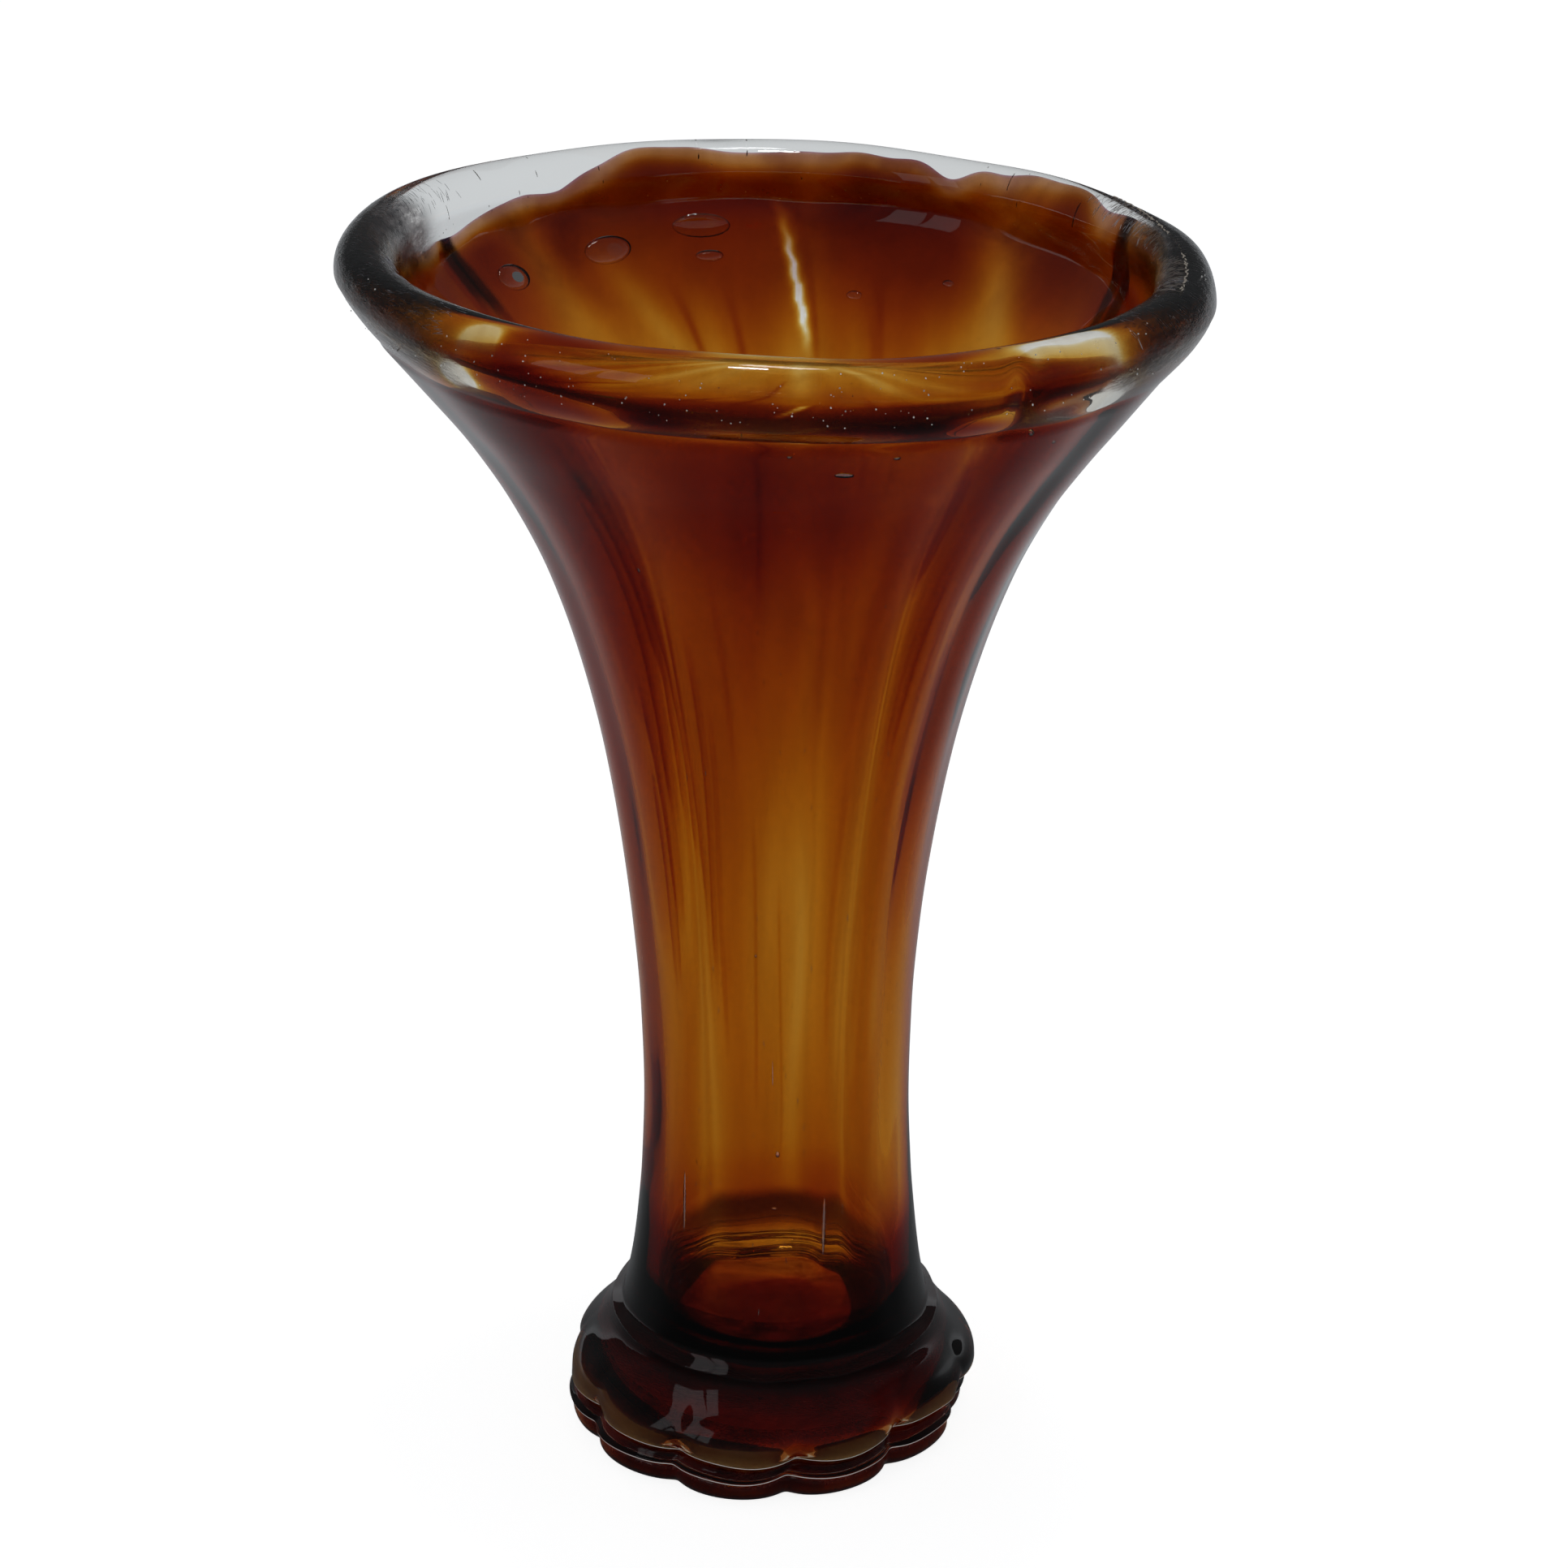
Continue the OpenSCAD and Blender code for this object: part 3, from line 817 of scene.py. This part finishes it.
def amber_glass(name, color, density, tint=False, cloud=0.0):
    m, nt = new_mat(name)
    out = node(nt, "ShaderNodeOutputMaterial")
    p = node(nt, "ShaderNodeBsdfPrincipled")
    p.inputs["Base Color"].default_value = (1, 1, 1, 1)
    p.inputs["Roughness"].default_value = 0.0
    p.inputs["IOR"].default_value = 1.0
    p.inputs["Transmission Weight"].default_value = 1.0
    p.inputs["Specular IOR Level"].default_value = 0.0
    if tint:
        # deeper red under the rim at the back, olive where the colour thins, faint drawn-out streaks
        tc = node(nt, "ShaderNodeTexCoord")
        sp = node(nt, "ShaderNodeSeparateXYZ")
        nt.links.new(tc.outputs["Object"], sp.inputs[0])
        up = node(nt, "ShaderNodeMapRange", interpolation_type="SMOOTHSTEP")
        up.inputs["From Min"].default_value = 0.172
        up.inputs["From Max"].default_value = 0.191
        nt.links.new(sp.outputs["Z"], up.inputs["Value"])
        rear = node(nt, "ShaderNodeMapRange", interpolation_type="SMOOTHSTEP")
        rear.inputs["From Min"].default_value = -0.012
        rear.inputs["From Max"].default_value = 0.028
        nt.links.new(sp.outputs["Y"], rear.inputs["Value"])
        mk = node(nt, "ShaderNodeMath", operation="MULTIPLY")
        nt.links.new(up.outputs["Result"], mk.inputs[0])
        nt.links.new(rear.outputs["Result"], mk.inputs[1])
        mp = node(nt, "ShaderNodeMapping")
        mp.inputs["Scale"].default_value = (150, 150, 7)
        nt.links.new(tc.outputs["Object"], mp.inputs["Vector"])
        nz = node(nt, "ShaderNodeTexNoise")
        nz.inputs["Scale"].default_value = 1.0
        nz.inputs["Detail"].default_value = 4
        nz.inputs["Roughness"].default_value = 0.6
        nt.links.new(mp.outputs[0], nz.inputs["Vector"])
        cr = node(nt, "ShaderNodeValToRGB")
        el = cr.color_ramp.elements
        el[0].position, el[0].color = 0.36, (0.86, 0.80, 0.72, 1)
        el[1].position, el[1].color = 0.62, (1.0, 1.0, 1.0, 1)
        nt.links.new(nz.outputs["Fac"], cr.inputs["Fac"])
        mx = node(nt, "ShaderNodeMix", data_type="RGBA", blend_type="MULTIPLY")
        nt.links.new(mk.outputs[0], mx.inputs[0])
        nt.links.new(cr.outputs["Color"], mx.inputs[6])
        mx.inputs[7].default_value = (0.62, 0.44, 0.6, 1)
        lo = node(nt, "ShaderNodeMapRange", interpolation_type="SMOOTHSTEP")
        lo.inputs["From Min"].default_value = 0.0215
        lo.inputs["From Max"].default_value = 0.0245
        nt.links.new(sp.outputs["Z"], lo.inputs["Value"])
        hi = node(nt, "ShaderNodeMapRange", interpolation_type="SMOOTHSTEP")
        hi.inputs["From Min"].default_value = 0.0300
        hi.inputs["From Max"].default_value = 0.0265
        nt.links.new(sp.outputs["Z"], hi.inputs["Value"])
        m3 = node(nt, "ShaderNodeMath", operation="MULTIPLY")
        nt.links.new(lo.outputs["Result"], m3.inputs[0])
        nt.links.new(hi.outputs["Result"], m3.inputs[1])
        m4 = node(nt, "ShaderNodeMath", operation="MULTIPLY")
        nt.links.new(m3.outputs[0], m4.inputs[0])
        nt.links.new(rear.outputs["Result"], m4.inputs[1])
        mx2 = node(nt, "ShaderNodeMix", data_type="RGBA", blend_type="MULTIPLY")
        nt.links.new(m4.outputs[0], mx2.inputs[0])
        nt.links.new(mx.outputs[2], mx2.inputs[6])
        mx2.inputs[7].default_value = (0.16, 0.17, 0.6, 1)
        # broad burgundy clouds over the inside of the back
        cm = node(nt, "ShaderNodeMapping")
        cm.inputs["Scale"].default_value = (48, 48, 62)
        nt.links.new(tc.outputs["Object"], cm.inputs["Vector"])
        cn = node(nt, "ShaderNodeTexNoise")
        cn.inputs["Scale"].default_value = 1.0
        cn.inputs["Detail"].default_value = 3
        cn.inputs["Distortion"].default_value = 0.8
        nt.links.new(cm.outputs[0], cn.inputs["Vector"])
        cc = node(nt, "ShaderNodeValToRGB")
        el = cc.color_ramp.elements
        el[0].position, el[0].color = 0.40, (0.52, 0.34, 0.40, 1)
        el[1].position, el[1].color = 0.60, (1.0, 1.0, 1.0, 1)
        nt.links.new(cn.outputs["Fac"], cc.inputs["Fac"])
        mx3 = node(nt, "ShaderNodeMix", data_type="RGBA", blend_type="MULTIPLY")
        nt.links.new(mk.outputs[0], mx3.inputs[0])
        nt.links.new(mx2.outputs[2], mx3.inputs[6])
        nt.links.new(cc.outputs["Color"], mx3.inputs[7])
        # painted shade: two near-black lines drawn up to the rim, left and right, standing in for the dark refraction
        # lines along the rib edges
        th = node(nt, "ShaderNodeMath", operation="ARCTAN2")
        nt.links.new(sp.outputs["Y"], th.inputs[0])
        nt.links.new(sp.outputs["X"], th.inputs[1])
        last = mx3.outputs[2]
        for at, slope, z0, lo_z, width in ((154.5, 0.25, 184.5, 178, 2.5), (22.0, 0.30, 183.5, 177, 2.4)):
            # angle less where the painted dark line is at this height, by a plain multiply and add
            li = node(nt, "ShaderNodeMath", operation="MULTIPLY_ADD")
            nt.links.new(sp.outputs["Z"], li.inputs[0])
            li.inputs[1].default_value = -math.radians(slope) * 1000
            li.inputs[2].default_value = math.radians(slope) * z0 - math.radians(at)
            su = node(nt, "ShaderNodeMath", operation="ADD")
            nt.links.new(th.outputs[0], su.inputs[0])
            nt.links.new(li.outputs[0], su.inputs[1])
            wv = node(nt, "ShaderNodeMath", operation="MULTIPLY_ADD")
            nt.links.new(cn.outputs["Fac"], wv.inputs[0])
            wv.inputs[1].default_value = 0.05
            nt.links.new(su.outputs[0], wv.inputs[2])
            ab = node(nt, "ShaderNodeMath", operation="ABSOLUTE")
            nt.links.new(wv.outputs[0], ab.inputs[0])
            f1 = node(nt, "ShaderNodeMapRange", interpolation_type="SMOOTHSTEP")
            f1.inputs["From Min"].default_value = math.radians(width)
            f1.inputs["From Max"].default_value = math.radians(width * 0.35)
            nt.links.new(ab.outputs[0], f1.inputs["Value"])
            f2 = node(nt, "ShaderNodeMapRange", interpolation_type="SMOOTHSTEP")
            f2.inputs["From Min"].default_value = lo_z * MM
            f2.inputs["From Max"].default_value = (lo_z + 5) * MM
            nt.links.new(sp.outputs["Z"], f2.inputs["Value"])
            mm_ = node(nt, "ShaderNodeMath", operation="MULTIPLY")
            nt.links.new(f1.outputs["Result"], mm_.inputs[0])
            nt.links.new(f2.outputs["Result"], mm_.inputs[1])
            mxn = node(nt, "ShaderNodeMix", data_type="RGBA", blend_type="MULTIPLY")
            nt.links.new(mm_.outputs[0], mxn.inputs[0])
            nt.links.new(last, mxn.inputs[6])
            mxn.inputs[7].default_value = (0.05, 0.05, 0.10, 1)
            last = mxn.outputs[2]
        nt.links.new(last, p.inputs["Base Color"])
    elif cloud:
        # the gather folded in on itself: drawn-out darker clouds
        tc = node(nt, "ShaderNodeTexCoord")
        mp = node(nt, "ShaderNodeMapping")
        mp.inputs["Scale"].default_value = (75, 75, 190)
        mp.inputs["Rotation"].default_value = (0.3, 0.2, 0.0)
        nt.links.new(tc.outputs["Object"], mp.inputs["Vector"])
        nz = node(nt, "ShaderNodeTexNoise")
        nz.inputs["Scale"].default_value = 1.0
        nz.inputs["Detail"].default_value = 4
        nz.inputs["Distortion"].default_value = 1.6
        nt.links.new(mp.outputs[0], nz.inputs["Vector"])
        cr = node(nt, "ShaderNodeValToRGB")
        el = cr.color_ramp.elements
        el[0].position, el[0].color = 0.38, (1 - cloud, 1 - 1.15 * cloud, 1 - 1.2 * cloud, 1)
        el[1].position, el[1].color = 0.60, (1.0, 1.0, 1.0, 1)
        nt.links.new(nz.outputs["Fac"], cr.inputs["Fac"])
        nt.links.new(cr.outputs["Color"], p.inputs["Base Color"])
    v = node(nt, "ShaderNodeVolumeAbsorption")
    v.inputs["Color"].default_value = (*color, 1)
    v.inputs["Density"].default_value = density
    nt.links.new(p.outputs[0], out.inputs["Surface"])
    nt.links.new(v.outputs[0], out.inputs["Volume"])
    return m


def give(ob, mat):
    ob.data.materials.clear()
    ob.data.materials.append(mat)


def rough_glass(name, base, rough, transmission, scale, strength, ior=1.5):
    m, nt = new_mat(name)
    out = node(nt, "ShaderNodeOutputMaterial")
    p = node(nt, "ShaderNodeBsdfPrincipled")
    p.inputs["Base Color"].default_value = (*base, 1)
    p.inputs["IOR"].default_value = ior
    p.inputs["Transmission Weight"].default_value = transmission
    tc = node(nt, "ShaderNodeTexCoord")
    nz = node(nt, "ShaderNodeTexNoise")
    nz.inputs["Scale"].default_value = scale
    nz.inputs["Detail"].default_value = 4
    nt.links.new(tc.outputs["Object"], nz.inputs["Vector"])
    mr = node(nt, "ShaderNodeMapRange")
    mr.inputs["To Min"].default_value = rough - 0.12
    mr.inputs["To Max"].default_value = rough + 0.12
    nt.links.new(nz.outputs["Fac"], mr.inputs["Value"])
    nt.links.new(mr.outputs["Result"], p.inputs["Roughness"])
    bm = node(nt, "ShaderNodeBump")
    bm.inputs["Strength"].default_value = strength
    bm.inputs["Distance"].default_value = 0.0002
    nt.links.new(nz.outputs["Fac"], bm.inputs["Height"])
    nt.links.new(bm.outputs["Normal"], p.inputs["Normal"])
    nt.links.new(p.outputs[0], out.inputs["Surface"])
    return m


give(glass, clear_glass())
# pale frosted band on the two tier rims: wear, and a painted highlight line along each edge
glass.data.materials.append(rough_glass("worn_edge_and_painted_highlight", (0.86, 0.82, 0.78), 0.5, 0.25, 500, 0.8))
MAT_BASE = (rough_glass("ground_base", (0.94, 0.64, 0.30), 0.5, 1.0, 700, 0.6, ior=1.2))
glass.data.materials.append(MAT_BASE)
glass.data.materials.append(rough_glass("seed_skin", (0.95, 0.93, 0.90), 0.6, 0.1, 900, 0.3))
glass.data.materials.append(rough_glass("seam_skin", (1.0, 0.50, 0.14), 0.7, 0.35, 400, 0.6, ior=1.0))
glass.data.materials.append(rough_glass("ripple_skin", (0.62, 0.62, 0.68), 0.6, 0.1, 900, 0.3))
glass.data.materials.append(rough_glass("fold_skin", (0.66, 0.58, 0.49), 0.6, 0.1, 900, 0.3))
glass.data.materials.append(rough_glass("comb_skin", (0.34, 0.29, 0.26), 0.6, 0.1, 900, 0.3))
mi = np.zeros(len(glass.data.polygons), dtype=np.int32)
marks = np.array(FOOT_MARK)
for i in range(len(marks) - 1):
    mk = min(marks[i], marks[i + 1])
    mi[i * N_ANG : (i + 1) * N_ANG] = mk
    if mk == 1:
        # the worn, painted highlight lines fade out at the back
        mi[i * N_ANG : (i + 1) * N_ANG][np.abs(ang(np.degrees(TH), 90)) < 50] = 0
mi[BODY_FACES:] = 0
mi[SPECK_FACES:] = 3
mi[RIPPLE_FACES:] = 5
mi[FOLD_FACES:] = 6
mi[COMB_FACES:] = 7
glass.data.polygons.foreach_set("material_index", mi)
glass.data.update()

# absorption per metre = density * (1 - colour)
AMBER = (0.8625, 0.640, 0.0)
give(amber, amber_glass("amber_glass", AMBER, 2400.0, tint=True))
give(core, amber_glass("foot_core_amber", (0.87, 0.67, 0.42), 2500.0, cloud=0.5))
give(ring_glass, amber_glass("foot_ring_amber", (0.80, 0.50, 0.10), 780.0, cloud=0.45))
give(disc_glass, amber_glass("foot_disc_amber", (0.76, 0.50, 0.30), 3000.0, cloud=0.6))

for ob, nodes, slot in (
    (glass, ("outer_casing", "inner_lining", "rim_bead", "foot_flange"), "clear_glass"),
    (amber, ("amber_layer",), "amber_glass"),
    (core, ("foot_core",), "amber_glass"),
    (ring_glass, ("foot_ring",), "foot_glass"),
    (disc_glass, ("foot_disc",), "foot_glass"),
):
    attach(ob, "root")
    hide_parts(*nodes)

# ------------------------------------------------------------------ floor, light, camera

def mirrored(nt, lp):
    """1 for a ray that left its last surface by reflection, 0 for one that passed through it"""
    inv = node(nt, "ShaderNodeMath", operation="SUBTRACT")
    inv.inputs[0].default_value = 1.0
    nt.links.new(lp.outputs["Is Transmission Ray"], inv.inputs[1])
    mul = node(nt, "ShaderNodeMath", operation="MULTIPLY")
    nt.links.new(lp.outputs["Is Glossy Ray"], mul.inputs[0])
    nt.links.new(inv.outputs[0], mul.inputs[1])
    return mul.outputs[0]


fm = bpy.data.meshes.new("floor")
S = 3.0
fm.from_pydata([(-S, -S, -0.0002), (S, -S, -0.0002), (S, S, -0.0002), (-S, S, -0.0002)], [], [(0, 1, 2, 3)])
floor = bpy.data.objects.new("floor", fm)
bpy.context.scene.collection.objects.link(floor)
m, nt = new_mat("floor_white")
out = node(nt, "ShaderNodeOutputMaterial")
lp = node(nt, "ShaderNodeLightPath")
d = node(nt, "ShaderNodeBsdfDiffuse")
d.inputs["Color"].default_value = (0.85, 0.85, 0.85, 1)
e = node(nt, "ShaderNodeEmission")
e.inputs["Color"].default_value = (1, 1, 1, 1)
e.inputs["Strength"].default_value = 0.86
a = node(nt, "ShaderNodeAddShader")
nt.links.new(d.outputs[0], a.inputs[0])
nt.links.new(e.outputs[0], a.inputs[1])
# the table as it shows in the glass: a plain grey behind, and near black where it is only mirrored
et = node(nt, "ShaderNodeEmission")
et.inputs["Color"].default_value = (0.97, 1.0, 1.02, 1)
et.inputs["Strength"].default_value = 0.66
eg = node(nt, "ShaderNodeEmission")
eg.inputs["Color"].default_value = (0.93, 0.96, 1.0, 1)
ge = node(nt, "ShaderNodeNewGeometry")
sx = node(nt, "ShaderNodeSeparateXYZ")
nt.links.new(ge.outputs["Position"], sx.inputs[0])
fr = node(nt, "ShaderNodeMapRange")
fr.interpolation_type = "SMOOTHSTEP"
fr.inputs["From Min"].default_value = -0.06
fr.inputs["From Max"].default_value = 0.30
fr.inputs["To Min"].default_value = 0.04
fr.inputs["To Max"].default_value = 0.42
nt.links.new(sx.outputs["Y"], fr.inputs["Value"])
nt.links.new(fr.outputs["Result"], eg.inputs["Strength"])
m1 = node(nt, "ShaderNodeMixShader")
nt.links.new(mirrored(nt, lp), m1.inputs["Fac"])
nt.links.new(et.outputs[0], m1.inputs[1])
nt.links.new(eg.outputs[0], m1.inputs[2])
m2 = node(nt, "ShaderNodeMixShader")
nt.links.new(lp.outputs["Is Camera Ray"], m2.inputs["Fac"])
nt.links.new(m1.outputs[0], m2.inputs[1])
nt.links.new(a.outputs[0], m2.inputs[2])
nt.links.new(m2.outputs[0], out.inputs["Surface"])
give(floor, m)

world = bpy.data.worlds.new("studio")
bpy.context.scene.world = world
world.use_nodes = True
nt = world.node_tree
nt.nodes.clear()
wo = node(nt, "ShaderNodeOutputWorld")
tc = node(nt, "ShaderNodeTexCoord")
sep = node(nt, "ShaderNodeSeparateXYZ")
nt.links.new(tc.outputs["Generated"], sep.inputs[0])
lp = node(nt, "ShaderNodeLightPath")


def sky(stops, strength, tint):
    ramp = node(nt, "ShaderNodeValToRGB")
    ramp.color_ramp.interpolation = "EASE"
    els = ramp.color_ramp.elements
    c = [stops[0][1] * t for t in tint]
    els[0].position, els[0].color = stops[0][0], (*c, 1)
    c = [stops[-1][1] * t for t in tint]
    els[1].position, els[1].color = stops[-1][0], (*c, 1)
    for pos, v in stops[1:-1]:
        el = els.new(pos)
        el.color = (v * tint[0], v * tint[1], v * tint[2], 1)
    nt.links.new(sep.outputs["Z"], ramp.inputs["Fac"])
    bg = node(nt, "ShaderNodeBackground")
    nt.links.new(ramp.outputs["Color"], bg.inputs["Color"])
    bg.inputs["Strength"].default_value = strength
    return bg


through = sky([(0.0, 0.66), (0.12, 0.60), (0.35, 0.40), (0.6, 0.16), (0.8, 0.05), (1.0, 0.04)], 1.0, (0.96, 1.0, 1.03))
mirror = sky([(0.0, 0.05), (0.2, 0.08), (0.5, 0.07), (0.8, 0.05), (1.0, 0.05)], 1.0, (0.97, 1.0, 1.03))
bgc = node(nt, "ShaderNodeBackground")
bgc.inputs["Color"].default_value = (1, 1, 1, 1)
m1 = node(nt, "ShaderNodeMixShader")
nt.links.new(mirrored(nt, lp), m1.inputs["Fac"])
nt.links.new(through.outputs[0], m1.inputs[1])
nt.links.new(mirror.outputs[0], m1.inputs[2])
m2 = node(nt, "ShaderNodeMixShader")
nt.links.new(lp.outputs["Is Camera Ray"], m2.inputs["Fac"])
nt.links.new(m1.outputs[0], m2.inputs[1])
nt.links.new(bgc.outputs[0], m2.inputs[2])
nt.links.new(m2.outputs[0], wo.inputs["Surface"])


def area(name, loc, target, sx, sy, power, color=(1, 1, 1)):
    L = bpy.data.lights.new(name, "AREA")
    L.shape = "RECTANGLE"
    L.size, L.size_y = sx, sy
    L.energy = power
    L.color = color
    ob = bpy.data.objects.new(name, L)
    bpy.context.scene.collection.objects.link(ob)
    ob.location = loc
    from mathutils import Vector
    v = Vector(target) - Vector(loc)
    ob.rotation_mode = "QUATERNION"
    ob.rotation_quaternion = v.to_track_quat("-Z", "Y")
    return ob


area("soft_top", (0.1, 0.25, 1.5), (0, 0, 0.1), 0.22, 0.16, 0.9)
area("glint", (0.0, -0.03, 1.25), (0, 0, 0.19), 0.13, 0.11, 1.1, (1.0, 1.0, 1.0))
area("window_a", (-0.66 + 0.072, -0.58 - 0.080, 0.57), (0, 0, 0.06), 0.19, 0.46, 0.13, (0.96, 0.98, 1.0))
area("window_b", (-0.66 - 0.072, -0.58 + 0.080, 0.57), (0, 0, 0.06), 0.19, 0.46, 0.13, (0.96, 0.98, 1.0))

cam = bpy.data.cameras.new("camera")
cam.sensor_width = 36
cam.lens = 36 * 5000 / 1932
cam.clip_start, cam.clip_end = 0.01, 20
co = bpy.data.objects.new("camera", cam)
bpy.context.scene.collection.objects.link(co)
from mathutils import Matrix
M4 = (
    Matrix.Translation((0.00079, -0.5872, 0.3620))
    @ Matrix.Rotation(math.radians(90 - 23.06), 4, "X")
    @ Matrix.Rotation(math.radians(0.8), 4, "Z")
)
co.matrix_world = M4
bpy.context.scene.camera = co

sc = bpy.context.scene
sc.view_settings.view_transform = "Standard"
sc.view_settings.look = "None"
cy = sc.cycles
cy.max_bounces = 40
cy.transmission_bounces = 40
cy.glossy_bounces = 16
cy.transparent_max_bounces = 40
cy.diffuse_bounces = 3
cy.caustics_refractive = True
cy.caustics_reflective = False
cy.use_denoising = True
